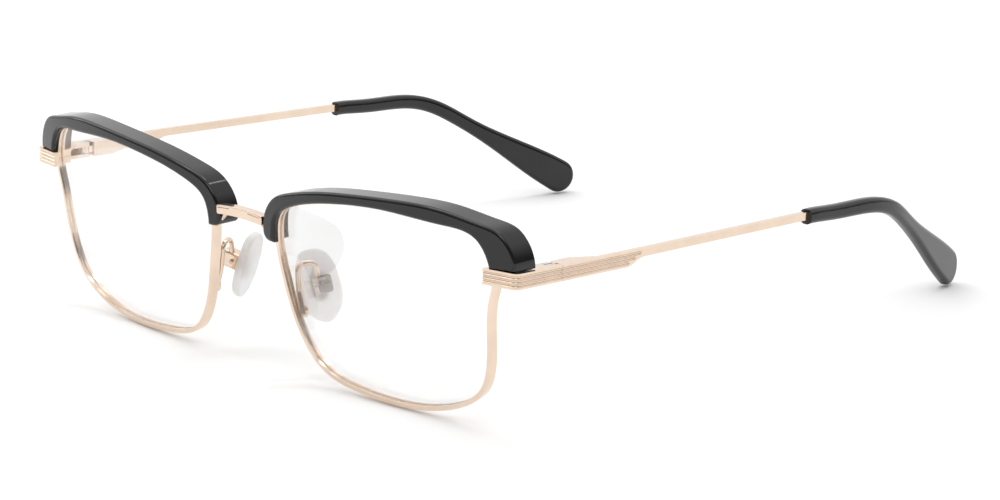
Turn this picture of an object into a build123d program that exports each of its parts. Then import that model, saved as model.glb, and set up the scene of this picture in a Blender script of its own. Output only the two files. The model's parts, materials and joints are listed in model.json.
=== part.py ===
from build123d import *
from math import atan2, cos, degrees, radians, sin, tan
import os

os.makedirs("parts", exist_ok=True)

# Browline eyeglasses, size 52-18-140.  Millimetres.
# +X is the wearer's left, -Y is the front, +Z is up.  The glasses stand open on a table,
# on the bottoms of both rims and on both temple tips.  The origin is on the table, in the
# middle of the footprint.  Every side piece is made for the wearer's left and mirrored.

# ---------------------------------------------------------------- driving dimensions
front_y = -69.10           # lens centres, forward of the origin
lens_x = 35.0              # lens centre from the middle of the bridge
lens_z = 17.2              # lens centre above the table
face_wrap = 3.9            # degrees each lens turns back at the temple
front_tilt = 7.3           # degrees the top of the front leans forward
base_radius = 150.0        # spherical curve of lenses, rims and brows

rim_width = 0.9            # of the wire, across the lens opening
rim_depth = 1.5            # of the wire, front to back
groove_depth = 0.35        # of the lens groove in the wire
groove_width = 0.6
lens_thickness = 1.4
fit = 0.02                 # clearance of a fixed fit
running = 0.03             # radial clearance of a running fit

brow_front = 2.0           # brow front face, forward of the rim's middle
brow_back = -2.8
brow_lip = 0.15            # brow covers this much past the rim's middle
brow_rebate = 0.8          # space behind the lip, out from the rim's middle
brow_edge = 0.6            # rounded edges of the brow

bridge_width = 12.8        # bar between the brows
bridge_height = 1.8
bridge_depth = 1.8
bridge_z = 29.5            # middle of the bar
bridge_y = -1.7            # middle of the bar, from the lens centres
strut_diameter = 0.8

half_width = 68.0          # outer face of the endpiece
split_y = 13.3             # joint of endpiece and temple, behind the lens centre
split_z = 30.1             # top edge of the plate at that joint
temple_drop = 2.2          # degrees the temple slopes down to the rear
plate_height = 2.85
plate_thickness = 1.2
corner_run = 11.2          # endpiece, from the split to the front corner
front_leg = 7.1            # endpiece, from the corner towards the lens
front_slope = 1.3          # front leg comes forward by this much towards the lens
flute_radius = 0.32        # grooves along endpiece and plate
flute_depth = 0.2
butt_gap = 0.04

axis_run = -1.4            # hinge axis from the split, along the temple
axis_in = 2.3              # hinge axis inside the outer face
leaf_thickness = 0.65
leaf_radius = 1.2
eye_radius = 1.0
screw_diameter = 1.2
screw_head = 1.9
housing_start = 0.25       # spring housing, behind the split
housing_full = 4.95        # end of its full section
housing_end = 9.2          # end of its tapered rear part
housing_in = 3.6           # its inner face from the outer face
tongue_width = 1.5
tongue_end = 1.0           # end of the tongue's square part, behind the split
rod_diameter = 0.7
rod_end = 4.4
spring_start = 1.65
spring_end = 3.25
spring_wire = 0.2
spring_mean = 1.1          # mean diameter of the coil
spring_turns = 5
retainer_length = 0.5

bar_height = 1.5
bar_lean = 1.0             # the bar comes inward by this much up to the tip
tip_start = 66.8           # front end of the temple tip, behind the split
tip_height = 2.9           # of the tip's section at its front end
tip_thickness = 2.7
tip_round = 3.7            # radius of the tip's end
bend_radius = 26.0
core_diameter = 1.1

pad_centre = (10.3, front_y + 7.8, 16.1)
pad_splay = 26.0           # degrees the pad faces backward
pad_rise = 19.0            # degrees the pad faces downward
pad_thickness = 1.9
wire_diameter = 1.0        # of the pad arm

# ---------------------------------------------------------------- planes of the left side
wrap, tilt, drop = radians(face_wrap), radians(front_tilt), radians(temple_drop)
lens_plane = Plane(
    origin=(lens_x, front_y, lens_z),
    x_dir=(cos(wrap), sin(wrap), 0),
    z_dir=(tan(wrap), -1, -tan(tilt)),
)
# temple plane: x runs back along the temple, y up, z outward; origin at the split's top edge
temple_plane = Plane(
    origin=(half_width, front_y + split_y, split_z),
    x_dir=(0, cos(drop), -sin(drop)),
    z_dir=(1, 0, 0),
)


def save(piece, name):
    piece.part.label = name
    export_step(piece.part, f"parts/{name}.step")


def save_pair(piece, name):
    """Write the left piece, and its mirror image as the right one."""
    with BuildPart() as right:
        mirror(piece.part, about=Plane.YZ)
    save(piece, f"{name}_left")
    save(right, f"{name}_right")


# ---------------------------------------------------------------- rim, lens and brow
# middle line of the rim wire: +x to the temple, +y up, from the lens centre
rim_line = [
    (26.6, 8.0), (26.7, 14.0), (24.1, 18.4), (17.2, 19.9), (4.0, 20.5), (-10.0, 19.3),
    (-20.6, 16.7), (-24.8, 14.1), (-25.9, 10.0), (-24.7, 2.0), (-21.8, -7.5),
    (-16.8, -14.0), (-8.0, -16.4), (3.0, -16.9), (15.2, -15.0), (22.4, -10.7), (25.2, -1.5),
]


plate_reach = 14           # how far plate outlines run before the base curve trims them
with BuildLine() as rim_middle:
    Spline(rim_line, periodic=True)
middle = rim_middle.edges()[0]


def rim_face(growth):
    """Sketch of the rim's middle line, grown outward by this much."""
    points = []
    for spot in rim_line:
        along = middle.tangent_at(middle.param_at_point(spot))
        points.append(Vector(*spot) + Vector(along.Y, -along.X) * growth)
    with BuildSketch() as face:
        with BuildLine():
            Spline(points, periodic=True)
        make_face()
    return face.sketch


def keep_shell(back, front):
    """Keep what lies between two spheres of the base curve."""
    with Locations((0, 0, -base_radius)):
        Sphere(base_radius + front, rotation=(90, 0, 0), mode=Mode.INTERSECT)
        Sphere(base_radius + back, rotation=(90, 0, 0), mode=Mode.SUBTRACT)


def curved_plate(outline, back, front, direction=lens_plane.z_dir):
    """Solid with this outline, run along a direction, between two spheres of the base curve."""
    with BuildPart(lens_plane) as plate:
        with BuildSketch(lens_plane):
            add(outline)
        extrude(amount=plate_reach, dir=direction, both=True)
        keep_shell(back, front)
    return plate.part


def sag(spot):
    """How far the base curve falls back from the lens centre's plane at this spot."""
    return (spot[0] ** 2 + spot[1] ** 2) / (2 * base_radius)


split_tool_height = 0.08   # width of the saw cut through the rim at the closing block
with BuildPart(temple_plane) as rim_cut:
    with Locations((-9.5, -plate_height / 2, -6.6)):
        Box(6, split_tool_height, 3)

with BuildPart() as eyewire:
    add(curved_plate(rim_face(rim_width / 2), -rim_depth / 2, rim_depth / 2))
    add(
        curved_plate(rim_face(-rim_width / 2), -rim_depth, rim_depth),
        mode=Mode.SUBTRACT,
    )
    add(
        curved_plate(
            rim_face(groove_depth - rim_width / 2), -groove_width / 2, groove_width / 2
        ),
        mode=Mode.SUBTRACT,
    )
    add(rim_cut.part, mode=Mode.SUBTRACT)
save_pair(eyewire, "eyewire")

lens_edge = rim_face(groove_depth - rim_width / 2 - fit)
with BuildSketch() as lens_step:
    add(rim_face(rim_width))
    add(rim_face(-rim_width / 2 - fit), mode=Mode.SUBTRACT)
with BuildPart() as lens:
    add(curved_plate(lens_edge, -lens_thickness / 2, lens_thickness / 2))
    bevel = groove_width / 2 - fit
    add(curved_plate(lens_step.sketch, bevel, 2 * lens_thickness), mode=Mode.SUBTRACT)
    add(curved_plate(lens_step.sketch, -2 * lens_thickness, -bevel), mode=Mode.SUBTRACT)
save_pair(lens, "lens")

# outer outline of the brow, from the end of its nose leg over the top to the temple leg
with BuildSketch() as brow_outline:
    with BuildLine():
        top = Spline(
            (-28.9, 11.0), (-27.9, 14.8), (-25.3, 17.5), (-21.2, 19.1), (-13.0, 20.9),
            (-3.0, 22.1), (8.0, 22.8), (17.0, 22.6), (25.0, 21.2), (28.7, 20.1),
            (30.7, 18.0), (32.0, 13.4),
        )
        leg = Line(top @ 1, (20.0, 13.4))
        inward = Line(leg @ 1, (-20.0, 8.8))
        toe = Line(inward @ 1, (-27.0, 8.8))
        TangentArc(toe @ 1, top @ 0, tangent=(-1, 0))
    make_face()
    add(rim_face(-brow_lip), mode=Mode.SUBTRACT)

with BuildPart() as brow:
    add(curved_plate(brow_outline.sketch, brow_back, brow_front, direction=(0, -1, 0)))
    add(
        curved_plate(rim_face(brow_rebate), 2 * brow_back, rim_depth / 2 + fit),
        mode=Mode.SUBTRACT,
    )
    front_face = brow.faces().filter_by(GeomType.SPHERE).sort_by(SortBy.AREA)[-1]
    fillet(front_face.edges(), brow_edge)

# ---------------------------------------------------------------- endpiece
# plan plane: x runs back along the temple, y outward; extrusions go down from the top edge
plan_plane = Plane(
    origin=temple_plane.origin, x_dir=temple_plane.x_dir, z_dir=-temple_plane.y_dir
)
corner = (-corner_run, 0)
leg_end = (-corner_run - front_slope, -front_leg)
flute_levels = [plate_height * i / 4 for i in (1, 2, 3)]
flute_centre = flute_radius - flute_depth

with BuildPart() as endpiece:
    with BuildSketch(plan_plane):
        with BuildLine():
            FilletPolyline((0, 0), corner, leg_end, radius=1.3)
            offset(amount=plate_thickness, side=Side.LEFT)
        make_face()
    extrude(amount=plate_height)
    for level in flute_levels:
        with BuildLine(plan_plane.offset(level)) as flute_line:
            FilletPolyline(
                (1, flute_centre),
                (-corner_run - flute_centre, flute_centre),
                (leg_end[0] - flute_centre - 0.18, leg_end[1] - 1),
                radius=1.3 + flute_centre,
            )
        with BuildSketch(Plane(flute_line.line @ 0, z_dir=flute_line.line % 0)):
            Circle(flute_radius)
        sweep(path=flute_line.line, mode=Mode.SUBTRACT)
save_pair(endpiece, "endpiece")

# closing block: two halves behind the rim joint, drawn together by a screw from below
block_x, block_o = (-11.4, -7.3), (-6.3, -3.2)
block_mid = -plate_height / 2
screw_spot = ((block_x[0] + block_x[1]) / 2 + 0.3, (block_o[0] + block_o[1]) / 2 + 0.1)


rim_prism = curved_plate(rim_face(rim_width / 2), -10, 10)


def block_half(low, high, bore):
    """One half of the closing block between two heights, with its screw hole."""
    with BuildPart() as half:
        with BuildSketch(plan_plane.offset(-high)):
            with BuildLine():
                Polyline(
                    (block_x[0], block_o[0]), (block_x[1], block_o[0]),
                    (block_x[1], block_o[1]), (block_x[0], block_o[1]), close=True,
                )
            make_face()
        extrude(amount=high - low)
        with BuildSketch(plan_plane.offset(-high)):
            with Locations(screw_spot):
                Circle(bore / 2)
        extrude(amount=high - low, mode=Mode.SUBTRACT)
        add(endpiece.part, mode=Mode.SUBTRACT)
        add(rim_prism, mode=Mode.SUBTRACT)
    return half


block_screw = 0.9
block_upper = block_half(block_mid + split_tool_height / 2, -0.05, block_screw + 2 * fit)
save_pair(block_upper, "closing_block_upper")
lower_blank = block_half(
    -plate_height + 0.05, block_mid - split_tool_height / 2, block_screw + 2 * fit
)
with BuildPart() as block_lower:
    add(lower_blank.part)
    with BuildSketch(plan_plane.offset(plate_height - 0.45)):
        with Locations(screw_spot):
            Circle(0.75 + fit)
    extrude(amount=1, mode=Mode.SUBTRACT)
save_pair(block_lower, "closing_block_lower")

with BuildPart() as closing_screw:
    with BuildSketch(plan_plane.offset(0.3)):
        with Locations(screw_spot):
            Circle(block_screw / 2)
    extrude(amount=plate_height - 0.5)
    with BuildSketch(plan_plane.offset(plate_height - 0.45 + fit)):
        with Locations(screw_spot):
            Circle(0.75)
    extrude(amount=0.4 - 2 * fit)
    with BuildSketch(plan_plane.offset(plate_height - 0.2)):
        with Locations(screw_spot):
            Rectangle(2, 0.22)
    extrude(amount=1, mode=Mode.SUBTRACT)
save_pair(closing_screw, "closing_screw")

# ---------------------------------------------------------------- spring hinge
axis_spot = (axis_run, -axis_in)
window = (leaf_thickness + 0.07, plate_height - leaf_thickness - 0.07)
head_height = 0.35

with BuildPart() as fork:
    with BuildSketch(plan_plane):
        with BuildLine():
            Polyline(
                (-7.2, -plate_thickness), (axis_run, -plate_thickness),
                (axis_run, -housing_in + 0.1), (-7.2, -housing_in + 0.1), close=True,
            )
        make_face()
        with Locations(axis_spot):
            Circle(leaf_radius)
    extrude(amount=plate_height)
    with BuildSketch(plan_plane.offset(window[0])):
        with Locations((-6.2, -axis_in)):
            Rectangle(8, 4, align=(Align.MIN, Align.CENTER))
    extrude(amount=window[1] - window[0], mode=Mode.SUBTRACT)
    with BuildSketch(plan_plane):
        with Locations(axis_spot):
            Circle(screw_diameter / 2 + running)
    extrude(amount=plate_height, mode=Mode.SUBTRACT)
    with BuildSketch(plan_plane):
        with Locations(axis_spot):
            Circle(screw_head / 2 + running)
    extrude(amount=head_height + running, mode=Mode.SUBTRACT)
    add(endpiece.part, mode=Mode.SUBTRACT)
save_pair(fork, "hinge_fork")

with BuildPart() as hinge_screw:
    with BuildSketch(plan_plane):
        with Locations(axis_spot):
            Circle(screw_head / 2)
    extrude(amount=head_height)
    with BuildSketch(plan_plane):
        with Locations(axis_spot):
            Circle(screw_diameter / 2)
    extrude(amount=plate_height)
    with BuildSketch(plan_plane):
        with Locations(axis_spot):
            Rectangle(3, 0.25)
    extrude(amount=0.2, mode=Mode.SUBTRACT)
save_pair(hinge_screw, "hinge_screw")

side_gap = 0.03
tongue_low, tongue_high = window[0] + side_gap, window[1] - side_gap
mid_height = plate_height / 2
# rod plane: looks back along the temple through the middle of the tongue
rod_plane = Plane(
    origin=temple_plane.from_local_coords((0, -mid_height, -axis_in)),
    x_dir=temple_plane.z_dir,
    z_dir=temple_plane.x_dir,
)

with BuildPart() as tongue:
    with BuildSketch(plan_plane.offset(tongue_low)):
        with Locations(axis_spot):
            Circle(eye_radius)
            Rectangle(tongue_end - axis_run, tongue_width, align=(Align.MIN, Align.CENTER))
            Circle(screw_diameter / 2 + running, mode=Mode.SUBTRACT)
    extrude(amount=tongue_high - tongue_low)
    with BuildSketch(rod_plane.offset(tongue_end)):
        Circle(rod_diameter / 2)
    extrude(amount=rod_end - tongue_end)
save_pair(tongue, "hinge_tongue")

with BuildPart() as retainer:
    with BuildSketch(rod_plane.offset(rod_end - retainer_length)):
        Circle(spring_mean / 2 + spring_wire / 2)
        Circle(rod_diameter / 2, mode=Mode.SUBTRACT)
    extrude(amount=retainer_length)
save_pair(retainer, "tongue_retainer")

with BuildPart() as spring:
    with BuildLine() as coil:
        Helix(
            pitch=(spring_end - spring_start - spring_wire) / spring_turns,
            height=spring_end - spring_start - spring_wire,
            radius=spring_mean / 2,
            center=rod_plane.offset(spring_start + spring_wire / 2).origin,
            direction=rod_plane.z_dir,
        )
    with BuildSketch(Plane(coil.line @ 0, z_dir=coil.line % 0)):
        Circle(spring_wire / 2)
    sweep(path=coil.line, is_frenet=True)
save_pair(spring, "hinge_spring")

with BuildPart() as housing:
    with BuildSketch(plan_plane):
        with BuildLine():
            Polyline(
                (housing_start, -plate_thickness), (housing_end, -plate_thickness),
                (housing_end, -plate_thickness - 0.25), (housing_full, -housing_in),
                (housing_start, -housing_in), close=True,
            )
        make_face()
    extrude(amount=plate_height)
    with BuildSketch(rod_plane):
        Rectangle(tongue_width + 2 * running, tongue_high - tongue_low + 2 * running)
    extrude(amount=tongue_end + 0.2, mode=Mode.SUBTRACT)
    with BuildSketch(rod_plane):
        Circle(rod_diameter / 2 + running)
    extrude(amount=housing_full - 0.4, mode=Mode.SUBTRACT)
    with BuildSketch(rod_plane.offset(spring_start - 0.02)):
        Circle(spring_mean / 2 + spring_wire / 2 + 0.07)
    extrude(amount=housing_full - 0.4 - spring_start, mode=Mode.SUBTRACT)
    fillet(housing.edges().filter_by(lambda e: abs(e.length - plate_height) < 0.01)
           .sort_by(lambda e: (e.center() - temple_plane.origin).dot(temple_plane.z_dir))[0:1], 0.5)
save_pair(housing, "hinge_housing")

# ---------------------------------------------------------------- temple
taper_start, taper_end = 16.0, 20.8
bar_end = tip_start + 2.0
flute_ends = (19.7, 18.2, 16.6)

with BuildPart() as temple_bar:
    with BuildSketch(temple_plane):
        with BuildLine():
            edge = Line((bar_end, 0), (butt_gap, 0))
            front = Line(edge @ 1, (butt_gap, -plate_height))
            under = Line(front @ 1, (taper_start, -plate_height))
            taper = Spline(
                under @ 1, (18.0, -2.35), (taper_end, -bar_height), tangents=((1, 0), (1, 0))
            )
            low = Line(taper @ 1, (bar_end, -bar_height))
            Line(low @ 1, edge @ 0)
        make_face()
    extrude(amount=4, both=True)
    with BuildSketch(plan_plane):
        with BuildLine():
            Polyline(
                (0, 0), (taper_end, 0), (bar_end, -bar_lean),
                (bar_end, -bar_lean - plate_thickness), (taper_end, -plate_thickness),
                (0, -plate_thickness), close=True,
            )
        make_face()
    extrude(amount=plate_height, mode=Mode.INTERSECT)
    for level, end in zip(flute_levels, flute_ends):
        with BuildSketch(Plane(temple_plane.from_local_coords((-1, -level, flute_centre)),
                               x_dir=temple_plane.z_dir, z_dir=temple_plane.x_dir)):
            Circle(flute_radius)
        extrude(amount=end + 1, mode=Mode.SUBTRACT)
        with Locations(temple_plane.from_local_coords((end, -level, flute_centre))):
            Sphere(flute_radius, mode=Mode.SUBTRACT)

# route of the temple tip's middle line: along the bar, round the ear bend, down to the end
bar_middle = -bar_height / 2
tip_drop = 0.25            # of the tip's middle line below the bar's
tip_route = [
    temple_plane.from_local_coords(
        (tip_start, bar_middle - tip_drop, -bar_lean - plate_thickness / 2)
    ),
    temple_plane.from_local_coords((92.3, bar_middle - 0.9, -2.4)),
    Vector(55.6, front_y + 138.1, tip_round),
]
fall = (tip_route[2] - tip_route[1]).normalized()
tip_end = tip_route[2] + fall * tip_round
with BuildLine() as ear_line:
    FilletPolyline(tip_route[0], tip_route[1], tip_end, radius=bend_radius)
ear_path = ear_line.wire()
path_length = ear_path.length


def across(distance):
    """Plane square to the ear path, with x up and y outward, at a distance along it."""
    along = ear_path.tangent_at(distance / path_length)
    out = along.cross(Vector(0, 0, 1)).normalized()
    return Plane(ear_path.position_at(distance / path_length), x_dir=out.cross(along), z_dir=along)


tip_sections = 11
neck_share = 0.58          # of the tip, with its front end's nearly even height
neck_growth = 0.6          # how much the height grows along that front end
end_height, end_thickness = 2 * tip_round, tip_thickness - 0.3


def tip_section(share):
    """Height and thickness of the tip's section at this share of its length."""
    swell = max(0, (share - neck_share) / (1 - neck_share))
    smooth = swell * swell * (3 - 2 * swell)
    return (
        tip_height + neck_growth * share + (end_height - tip_height - neck_growth) * smooth,
        tip_thickness + (end_thickness - tip_thickness) * share,
    )


core_length = path_length - 12
with BuildPart() as core:
    with BuildSketch(across(0)):
        Circle(core_diameter / 2)
    sweep(path=Wire(ear_path.trim(0, core_length / path_length).edges()))

with BuildPart() as temple:
    add(temple_bar.part)
    add(core.part)
save_pair(temple, "temple_bar")

tip_round_share = 0.4      # of the section's thickness, for its rounded edges
end_plane = across(path_length - tip_round)
with BuildPart() as tip:
    for station in range(tip_sections):
        share = station / (tip_sections - 1)
        height, thickness = tip_section(share)
        with BuildSketch(across(share * (path_length - tip_round))):
            RectangleRounded(height, thickness, thickness * tip_round_share)
    loft()
    with BuildSketch(end_plane):
        RectangleRounded(height, thickness, thickness * tip_round_share)
        Rectangle(height, 2 * thickness, align=(Align.MIN, Align.CENTER), mode=Mode.INTERSECT)
    revolve(axis=Axis(end_plane.origin, -end_plane.y_dir), revolution_arc=180)
    add(temple.part, mode=Mode.SUBTRACT)
save_pair(tip, "temple_tip")

# ---------------------------------------------------------------- bridge
half_bridge = bridge_width / 2
bar_top, bar_bow = bridge_z + bridge_height / 2, 0.35
strut_spot = (-25.9, 8.2)  # on the rim's middle line, from the lens centre
groove_run, bridge_groove = 3.4, 0.16
with BuildPart() as bridge:
    with BuildSketch(Plane.XZ.offset(-(front_y + bridge_y + bridge_depth / 2))) as bar_face:
        with BuildLine():
            upper = ThreePointArc((-half_bridge, bar_top), (0, bar_top + bar_bow), (half_bridge, bar_top))
            right_end = Line(upper @ 1, (half_bridge, bar_top - bridge_height))
            lower = ThreePointArc(
                right_end @ 1,
                (0, bar_top + bar_bow - bridge_height),
                (-half_bridge, bar_top - bridge_height),
            )
            Line(lower @ 1, upper @ 0)
        make_face()
        fillet(bar_face.vertices(), 0.35)
    extrude(amount=bridge_depth)
    fillet(bridge.faces().sort_by(Axis.Y)[0].edges(), 0.2)
    for side in (1, -1):
        groove_spot = (side * 4.3, front_y + bridge_y - bridge_depth / 2, bar_top - 0.32)
        with Locations(groove_spot):
            Box(groove_run, 0.6, bridge_groove, rotation=(0, side * 4, 0), mode=Mode.SUBTRACT)
    for side in (1, -1):
        post_foot = lens_plane.from_local_coords((*strut_spot, -sag(strut_spot)))
        route = [
            (side * 4.6, front_y + bridge_y + 0.3, bar_top - bridge_height + 0.5),
            (side * 6.6, front_y + bridge_y + 0.6, bar_top - bridge_height - 1.2),
            (side * post_foot.X, post_foot.Y, post_foot.Z),
        ]
        with BuildLine() as strut:
            FilletPolyline(*route, radius=0.8)
        with BuildSketch(Plane(strut.line @ 0, z_dir=strut.line % 0)):
            Circle(strut_diameter / 2)
        sweep(path=strut.line)
    add(rim_prism, mode=Mode.SUBTRACT)
    add(mirror(rim_prism, about=Plane.YZ), mode=Mode.SUBTRACT)
save(bridge, "bridge")

# ---------------------------------------------------------------- brow brackets and screws
# where each tab stands on the rim, and where a screw from behind pulls the brow onto it
bracket_roots = ((-24.9, 13.3), (26.5, 14.6))
bracket_holes = ((-26.2, 14.0), (28.6, 16.3))
bracket_width = 1.5
bracket_back, bracket_front = -0.7, -0.1
brow_screw, brow_screw_head = 0.8, 1.3
head_depth, head_slot = 0.35, 0.2

with BuildSketch() as tab_faces:
    for root, hole in zip(bracket_roots, bracket_holes):
        reach = Vector(*hole) - Vector(*root)
        with Locations((Vector(*hole) + Vector(*root)) / 2):
            SlotCenterToCenter(
                reach.length, bracket_width, rotation=degrees(atan2(reach.Y, reach.X))
            )
    with Locations(*bracket_holes):
        Circle(brow_screw / 2 + fit, mode=Mode.SUBTRACT)

with BuildPart() as brackets:
    add(curved_plate(tab_faces.sketch, bracket_back, bracket_front))
    add(rim_prism, mode=Mode.SUBTRACT)
save_pair(brackets, "brow_brackets")

with BuildPart() as brow_screws:
    for hole in bracket_holes:
        seat = lens_plane.offset(brow_back - sag(hole))
        with BuildSketch(seat):
            with Locations(hole):
                Circle(brow_screw / 2)
        extrude(amount=bracket_front - brow_back)
        with BuildSketch(seat):
            with Locations(hole):
                Circle(brow_screw_head / 2)
        extrude(amount=head_depth)
        with BuildSketch(seat):
            with Locations(hole):
                Rectangle(2 * brow_screw_head, head_slot)
        extrude(amount=head_depth / 2, mode=Mode.SUBTRACT)
save_pair(brow_screws, "brow_screws")

with BuildPart() as finished_brow:
    add(brow.part)
    add(brackets.part, mode=Mode.SUBTRACT)
    for hole in bracket_holes:
        seat = lens_plane.offset(brow_back - sag(hole) + head_depth)
        with BuildSketch(seat):
            with Locations(hole):
                Circle(brow_screw_head / 2)
        extrude(amount=-2, mode=Mode.SUBTRACT)
        with BuildSketch(seat):
            with Locations(hole):
                Circle(brow_screw / 2)
        extrude(amount=bracket_front - brow_back - head_depth, mode=Mode.SUBTRACT)
    add(bridge.part, mode=Mode.SUBTRACT)
    add(endpiece.part, mode=Mode.SUBTRACT)
    add(block_upper.part, mode=Mode.SUBTRACT)
    add(fork.part, mode=Mode.SUBTRACT)
save_pair(finished_brow, "brow")

# ---------------------------------------------------------------- nose pads
splay, rise = radians(pad_splay), radians(pad_rise)
# pad plane: x runs back across the pad, y up along it, z out towards the rim
pad_plane = Plane(
    origin=pad_centre,
    x_dir=(sin(splay), cos(splay), 0.12),
    z_dir=(cos(rise) * cos(splay), -cos(rise) * sin(splay), sin(rise)),
)
lug_width, lug_thickness = 1.5, 0.9
pin_height = 2.75          # of the pad screw above the middle of the pad
pin_diameter = 0.7
core_plate = 0.4
box_length, box_width, box_wall = 3.3, 2.7, 0.4
box_low, box_high = 1.7, 4.3
# pin plane: looks along the pad screw, through its middle
pin_plane = Plane(
    pad_plane.from_local_coords((0, 0, pin_height)), x_dir=pad_plane.y_dir, z_dir=pad_plane.x_dir
)

with BuildPart() as pad_core:
    with BuildSketch(pad_plane.offset(-core_plate / 2)):
        SlotOverall(6.0, 3.0, rotation=90)
    extrude(amount=core_plate)
    with BuildSketch(pad_plane):
        Rectangle(lug_thickness, lug_width)
    extrude(amount=pin_height)
    with BuildSketch(pin_plane):
        Circle(lug_width / 2)
    extrude(amount=lug_thickness / 2, both=True)
    with BuildSketch(pin_plane):
        Circle(pin_diameter / 2 + running)
    extrude(amount=3, both=True, mode=Mode.SUBTRACT)
save_pair(pad_core, "pad_core")

with BuildPart() as nose_pad:
    with BuildSketch(pad_plane.offset(-pad_thickness / 2)):
        with BuildLine():
            Spline(
                (-1.0, 7.0), (2.6, 5.7), (4.1, 0.6), (3.2, -4.9), (0.4, -7.0), (-2.6, -5.2),
                (-3.9, 0.2), (-3.3, 5.2), periodic=True,
            )
        make_face()
    extrude(amount=pad_thickness)
    fillet(nose_pad.faces().filter_by(GeomType.PLANE).edges(), 0.75)
    add(pad_core.part, mode=Mode.SUBTRACT)
save_pair(nose_pad, "nose_pad")

with BuildPart() as pad_screw:
    with BuildSketch(pin_plane.offset(-box_width / 2 - 0.5)):
        Circle(pin_diameter / 2)
    extrude(amount=box_width + 0.5)
    with BuildSketch(pin_plane.offset(box_width / 2)):
        Circle(0.7)
    extrude(amount=0.4)
    with BuildSketch(pin_plane.offset(box_width / 2 + 0.25)):
        Rectangle(2, 0.2)
    extrude(amount=0.2, mode=Mode.SUBTRACT)
save_pair(pad_screw, "pad_screw")

with BuildPart() as pad_box:
    with BuildSketch(pad_plane.offset(box_low)):
        RectangleRounded(box_width, box_length, 0.5)
        Rectangle(box_width - 2 * box_wall, box_length - 2 * box_wall, mode=Mode.SUBTRACT)
    extrude(amount=box_high - box_low)
    with BuildSketch(pad_plane.offset(box_high)):
        RectangleRounded(box_width, box_length, 0.5)
        with Locations((0, 0.75)):
            Rectangle(box_width - 2 * box_wall, box_length / 2 - box_wall, mode=Mode.SUBTRACT)
    extrude(amount=box_wall)
    with BuildSketch(pin_plane):
        Circle(pin_diameter / 2 + fit)
    extrude(amount=3, both=True, mode=Mode.SUBTRACT)
save_pair(pad_box, "pad_box")

arm_end = pad_plane.from_local_coords((-0.7, box_length / 2 + 0.3, 3.2))
with BuildPart() as pad_arm:
    with BuildLine() as arm_line:
        FilletPolyline(
            (12.6, front_y + 2.05, 12.2), (11.2, front_y + 2.1, 16.0), (10.6, front_y + 2.3, 21.2),
            (12.1, front_y + 5.4, 21.5), arm_end - (pad_plane.y_dir * 0.6), radius=(2.5, 1.5, 1.4),
        )
    with BuildSketch(Plane(arm_line.line @ 0, z_dir=arm_line.line % 0)):
        Circle(wire_diameter / 2)
    sweep(path=arm_line.line)
    with Locations(arm_line.line @ 0):
        Sphere(wire_diameter / 2)
    add(eyewire.part, mode=Mode.SUBTRACT)
    add(lens.part, mode=Mode.SUBTRACT)
    with BuildSketch(pad_plane.offset(box_low)):
        Rectangle(box_width, box_length)
    extrude(amount=box_high + box_wall - box_low, mode=Mode.SUBTRACT)
save_pair(pad_arm, "pad_arm")
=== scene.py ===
import json
from math import cos, radians, sin

import bmesh
import bpy
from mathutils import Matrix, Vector


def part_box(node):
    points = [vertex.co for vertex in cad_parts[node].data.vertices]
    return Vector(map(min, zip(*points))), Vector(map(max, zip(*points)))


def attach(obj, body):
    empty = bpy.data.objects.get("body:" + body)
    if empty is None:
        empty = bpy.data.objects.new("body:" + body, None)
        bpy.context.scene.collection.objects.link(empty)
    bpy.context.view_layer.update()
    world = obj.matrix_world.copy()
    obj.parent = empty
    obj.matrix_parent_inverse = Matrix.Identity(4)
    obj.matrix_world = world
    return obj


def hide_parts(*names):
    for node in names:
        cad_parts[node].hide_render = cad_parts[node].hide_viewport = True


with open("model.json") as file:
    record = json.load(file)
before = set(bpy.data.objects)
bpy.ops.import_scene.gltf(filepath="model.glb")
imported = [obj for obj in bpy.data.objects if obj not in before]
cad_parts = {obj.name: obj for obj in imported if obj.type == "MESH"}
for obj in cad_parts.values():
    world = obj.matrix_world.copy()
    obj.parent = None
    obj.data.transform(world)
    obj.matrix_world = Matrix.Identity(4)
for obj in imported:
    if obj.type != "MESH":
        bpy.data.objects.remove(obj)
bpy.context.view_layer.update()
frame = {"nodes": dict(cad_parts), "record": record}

nodes = frame["nodes"]
sides = ("left", "right")
mm = 0.001

# ------------------------------------------------------------------ material helpers


def new_material(name):
    """A material with a Principled shader; returns it with its node tree and shader."""
    made = bpy.data.materials.new(name)
    made.use_nodes = True
    tree = made.node_tree
    return made, tree, tree.nodes["Principled BSDF"]


def place_in_object(tree, stretch=(1, 1, 1)):
    """Object coordinates, in metres, stretched along the axes."""
    where = tree.nodes.new("ShaderNodeTexCoord")
    scaled = tree.nodes.new("ShaderNodeMapping")
    scaled.inputs["Scale"].default_value = stretch
    tree.links.new(where.outputs["Object"], scaled.inputs["Vector"])
    return scaled.outputs["Vector"]


def noise(tree, place, size, detail=4, roughness=0.55):
    """Noise with features of about this size in metres; returns its factor."""
    made = tree.nodes.new("ShaderNodeTexNoise")
    made.inputs["Scale"].default_value = 1 / size
    made.inputs["Detail"].default_value = detail
    made.inputs["Roughness"].default_value = roughness
    tree.links.new(place, made.inputs["Vector"])
    return made.outputs["Fac"]


def colours(tree, factor, low, high, start=0.35, end=0.65):
    """A colour between two, by the factor."""
    ramp = tree.nodes.new("ShaderNodeValToRGB")
    ramp.color_ramp.elements[0].position = start
    ramp.color_ramp.elements[0].color = (*low, 1)
    ramp.color_ramp.elements[1].position = end
    ramp.color_ramp.elements[1].color = (*high, 1)
    tree.links.new(factor, ramp.inputs["Fac"])
    return ramp.outputs["Color"]


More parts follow.
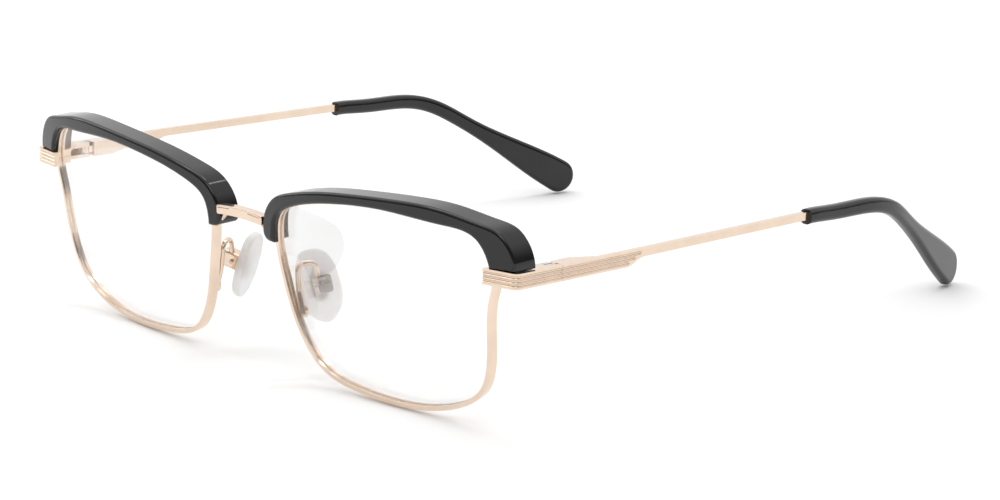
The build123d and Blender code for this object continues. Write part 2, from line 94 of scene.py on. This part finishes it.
def values(tree, factor, low, high):
    """A number between two, by the factor."""
    span = tree.nodes.new("ShaderNodeMapRange")
    span.inputs["To Min"].default_value = low
    span.inputs["To Max"].default_value = high
    tree.links.new(factor, span.inputs["Value"])
    return span.outputs["Result"]


def bump(tree, shader, height, distance, strength=0.5):
    """Fine relief of this depth in metres, from the height."""
    relief = tree.nodes.new("ShaderNodeBump")
    relief.inputs["Strength"].default_value = strength
    relief.inputs["Distance"].default_value = distance
    tree.links.new(height, relief.inputs["Height"])
    tree.links.new(relief.outputs["Normal"], shader.inputs["Normal"])


def set_sockets(shader, **sockets):
    """Constants on the shader; underscores in the names stand for spaces."""
    for name, value in sockets.items():
        shader.inputs[name.replace("_", " ")].default_value = value


# ------------------------------------------------------------------ materials
def gold_metal():
    """Polished champagne gold plating, with faint polishing lines along the temples."""
    made, tree, shader = new_material("champagne_gold")
    set_sockets(shader, Metallic=1.0, IOR=1.5)
    place = place_in_object(tree)
    cloud = noise(tree, place, 4 * mm)
    plating = colours(tree, cloud, (0.79, 0.63, 0.5), (0.83, 0.67, 0.54))
    tree.links.new(plating, shader.inputs["Base Color"])
    lines = noise(tree, place_in_object(tree, (1, 0.08, 1)), 0.12 * mm, detail=3)
    tree.links.new(values(tree, lines, 0.09, 0.2), shader.inputs["Roughness"])
    bump(tree, shader, lines, 0.004 * mm, 0.3)
    return made


def steel():
    """Turned steel of screws, springs and hidden cores."""
    made, tree, shader = new_material("screw_steel")
    set_sockets(shader, Metallic=1.0)
    place = place_in_object(tree)
    cloud = noise(tree, place, 0.8 * mm)
    metal = colours(tree, cloud, (0.55, 0.5, 0.45), (0.75, 0.7, 0.64))
    tree.links.new(metal, shader.inputs["Base Color"])
    grain = noise(tree, place_in_object(tree, (1, 1, 5)), 0.1 * mm)
    tree.links.new(values(tree, grain, 0.22, 0.42), shader.inputs["Roughness"])
    bump(tree, shader, grain, 0.005 * mm, 0.4)
    return made


def black_acetate():
    """Hand-polished black cellulose acetate: deep gloss, slight waviness and fine haze."""
    made, tree, shader = new_material("black_acetate")
    set_sockets(shader, IOR=1.5)
    place = place_in_object(tree)
    cloud = noise(tree, place, 9 * mm)
    black = colours(tree, cloud, (0.003, 0.003, 0.0035), (0.008, 0.0075, 0.0075))
    tree.links.new(black, shader.inputs["Base Color"])
    haze = noise(tree, place_in_object(tree, (1, 0.3, 1)), 0.3 * mm, detail=6)
    tree.links.new(values(tree, haze, 0.04, 0.1), shader.inputs["Roughness"])
    wave = noise(tree, place, 6 * mm, detail=1)
    bump(tree, shader, wave, 0.05 * mm, 0.35)
    return made


def clear_lens():
    """Clear demo lens with a thin hard coat and a little dust haze."""
    made, tree, shader = new_material("clear_lens")
    set_sockets(shader, IOR=1.5, Transmission_Weight=1.0, Alpha=0.18, Specular_IOR_Level=0.5)
    place = place_in_object(tree)
    cloud = noise(tree, place, 14 * mm)
    tint = colours(tree, cloud, (0.95, 0.985, 0.98), (0.985, 0.99, 1.0))
    tree.links.new(tint, shader.inputs["Base Color"])
    dust = noise(tree, place, 0.5 * mm, detail=6)
    tree.links.new(values(tree, dust, 0.0, 0.05), shader.inputs["Roughness"])
    return made


def silicone():
    """Milky clear silicone, softly shiny, with the faint mottling of a moulding."""
    made, tree, shader = new_material("clear_silicone")
    set_sockets(shader, IOR=1.42, Alpha=0.8)
    set_sockets(shader, Transmission_Weight=0.35, Subsurface_Weight=0.4, Subsurface_Scale=0.002)
    place = place_in_object(tree)
    cloud = noise(tree, place, 3 * mm)
    milk = colours(tree, cloud, (0.94, 0.935, 0.92), (0.98, 0.98, 0.97))
    tree.links.new(milk, shader.inputs["Base Color"])
    skin = noise(tree, place, 0.25 * mm, detail=5)
    tree.links.new(values(tree, skin, 0.25, 0.42), shader.inputs["Roughness"])
    bump(tree, shader, skin, 0.02 * mm, 0.25)
    return made


def paper():
    """White studio paper, with a barely visible tooth."""
    made, tree, shader = new_material("studio_paper")
    cloud = noise(tree, place_in_object(tree), 200 * mm)
    white = colours(tree, cloud, (0.93, 0.93, 0.93), (0.96, 0.96, 0.96))
    tree.links.new(white, shader.inputs["Base Color"])
    set_sockets(shader, Roughness=0.9)
    return made


finishes = {
    "gold_metal": gold_metal(),
    "steel": steel(),
    "black_acetate": black_acetate(),
    "lens": clear_lens(),
    "silicone": silicone(),
}
for part in frame["record"]["subparts"]:
    shown = nodes[part["node"]]
    shown.data.materials.clear()
    shown.data.materials.append(finishes[part["material_slot"]])


# ------------------------------------------------------------------ moulded nose pads
def select_only(thing):
    """Make this the one selected and active object."""
    bpy.ops.object.select_all(action="DESELECT")
    thing.select_set(True)
    bpy.context.view_layer.objects.active = thing


def moulded_pad(side):
    """A silicone pad with softly rolled edges, grown from the solid pad's own shape."""
    solid = nodes[f"nose_pad_{side}"]
    pad = bpy.data.objects.new(f"moulded_pad_{side}", solid.data.copy())
    bpy.context.collection.objects.link(pad)
    skin = pad.modifiers.new("skin", "REMESH")
    skin.mode = "VOXEL"
    skin.voxel_size = pad_voxel
    rolled = pad.modifiers.new("rolled_edges", "SMOOTH")
    rolled.factor = pad_rolling
    rolled.iterations = pad_smoothing
    fine = pad.modifiers.new("fine", "SUBSURF")
    fine.levels = fine.render_levels = 1
    select_only(pad)
    for step in ("skin", "rolled_edges", "fine"):
        bpy.ops.object.modifier_apply(modifier=step)
    for face in pad.data.polygons:
        face.use_smooth = True
    pad.data.materials.clear()
    pad.data.materials.append(finishes["silicone"])
    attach(pad, f"pad_{side}")
    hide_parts(f"nose_pad_{side}")


pad_voxel, pad_rolling, pad_smoothing = 0.22 * mm, 0.5, 6
for side in sides:
    moulded_pad(side)


# ------------------------------------------------------------------ solder joints
def solder_bead(name, spot, radius, shares):
    """A small smooth bead of solder, stretched or flattened by these shares along the axes."""
    lump = bmesh.new()
    bmesh.ops.create_icosphere(lump, subdivisions=3, radius=radius)
    for corner in lump.verts:
        corner.co = Vector(c * f for c, f in zip(corner.co, shares)) + Vector(spot)
    for face in lump.faces:
        face.smooth = True
    shape = bpy.data.meshes.new(name)
    lump.to_mesh(shape)
    lump.free()
    bead = bpy.data.objects.new(name, shape)
    bpy.context.collection.objects.link(bead)
    bead.data.materials.append(finishes["gold_metal"])
    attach(bead, "front")


bead_radius, bead_shares = 0.75 * mm, (0.75, 0.7, 1.5)
bead_in, bead_back, bead_up = 0.55 * mm, 1.0 * mm, 0.9 * mm
for side in sides:
    low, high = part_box(f"pad_arm_{side}")
    outer = high[0] if side == "left" else low[0]
    inward = -1 if side == "left" else 1
    # the arm's foot is soldered to the nose side of the rim
    foot = (outer + inward * bead_in, low[1] + bead_back, low[2] + bead_up)
    solder_bead(f"pad_arm_solder_{side}", foot, bead_radius, bead_shares)


# ------------------------------------------------------------------ studio
paper_size, paper_drop = 4.0, 0.0004
bpy.ops.mesh.primitive_plane_add(size=paper_size, location=(0, 0, -paper_drop))
floor = bpy.context.object
floor.name = "floor"
floor.data.materials.append(paper())


def soft_room():
    """A white tent: bright overhead and behind the glasses, greyer towards the front."""
    room = bpy.data.worlds.new("soft_room")
    room.use_nodes = True
    tree = room.node_tree
    background = tree.nodes["Background"]
    where = tree.nodes.new("ShaderNodeTexCoord")
    facing = tree.nodes.new("ShaderNodeVectorMath")
    facing.operation = "DOT_PRODUCT"
    facing.inputs[1].default_value = bright_side
    tree.links.new(where.outputs["Generated"], facing.inputs[0])
    tree.links.new(
        colours(tree, facing.outputs["Value"], room_front, room_back, start=0.08, end=0.5),
        background.inputs["Color"],
    )
    background.inputs["Strength"].default_value = 1.0
    bpy.context.scene.world = room


bright_side = (-0.35, 0.35, 0.87)
room_front, room_back = (0.2, 0.2, 0.2), (1.02, 1.02, 1.02)
soft_room()


def soft_light(name, place, aim, size, power):
    """A rectangular area light of this width and length, aimed at a point."""
    lamp = bpy.data.lights.new(name, "AREA")
    lamp.shape = "RECTANGLE"
    lamp.size, lamp.size_y = size
    lamp.energy = power
    holder = bpy.data.objects.new(name, lamp)
    holder.location = place
    holder.rotation_euler = (Vector(aim) - Vector(place)).to_track_quat("-Z", "Y").to_euler()
    bpy.context.collection.objects.link(holder)


soft_light("key", (0.5, -0.5, 0.8), (0, 0, 0), (0.5, 0.5), 1.4)
soft_light("strip_over", (-0.15, 0.1, 0.9), (0, 0, 0), (1.2, 0.12), 2.2)
soft_light("strip_side", (-0.7, -0.2, 0.6), (0, 0, 0), (0.1, 1.0), 0.9)

# the camera stands at the front left of the wearer, a little above the glasses
view_turn, view_rise = radians(45.51), radians(14.9)
view_aim = Vector((0.00482, -0.00896, 0.01208))
view_distance = 0.619
view_flat = cos(view_rise)
view_way = Vector((sin(view_turn) * view_flat, -cos(view_turn) * view_flat, sin(view_rise)))
lens_data = bpy.data.cameras.new("camera")
lens_data.lens = 112.6
lens_data.sensor_width = 36
camera = bpy.data.objects.new("camera", lens_data)
camera.location = view_aim + view_way * view_distance
camera.rotation_euler = (-view_way).to_track_quat("-Z", "Y").to_euler()
bpy.context.collection.objects.link(camera)
bpy.context.scene.camera = camera
bpy.context.scene.view_settings.view_transform = "Standard"
